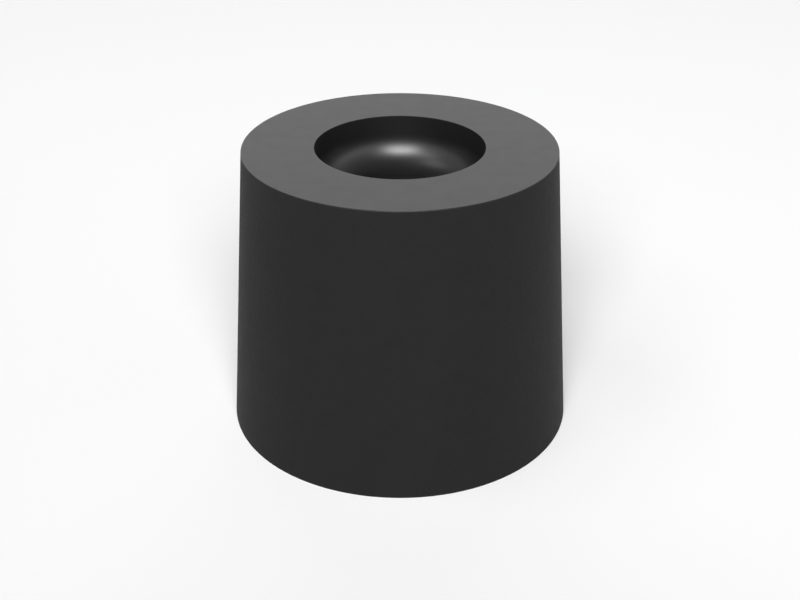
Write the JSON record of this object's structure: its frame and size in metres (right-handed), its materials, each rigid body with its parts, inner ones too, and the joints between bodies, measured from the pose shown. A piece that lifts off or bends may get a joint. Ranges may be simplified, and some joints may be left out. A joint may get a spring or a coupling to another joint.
{
  "type": "rubber buffer",
  "caption": "Tapered black rubber stop buffer, moulded in one piece, with a flat base and a round recess in its narrow end.",
  "frame": {"origin": "centre of the wide flat base, on the face that it is fixed by", "axes": "+Z along the axis, from the wide base to the recessed narrow end"},
  "size_m": [0.04, 0.04, 0.0332],
  "materials": {
    "black_rubber": "satin moulded"
  },
  "bodies": {
    "root": {"rubber_buffer": "black_rubber"}
  },
  "joints": []
}
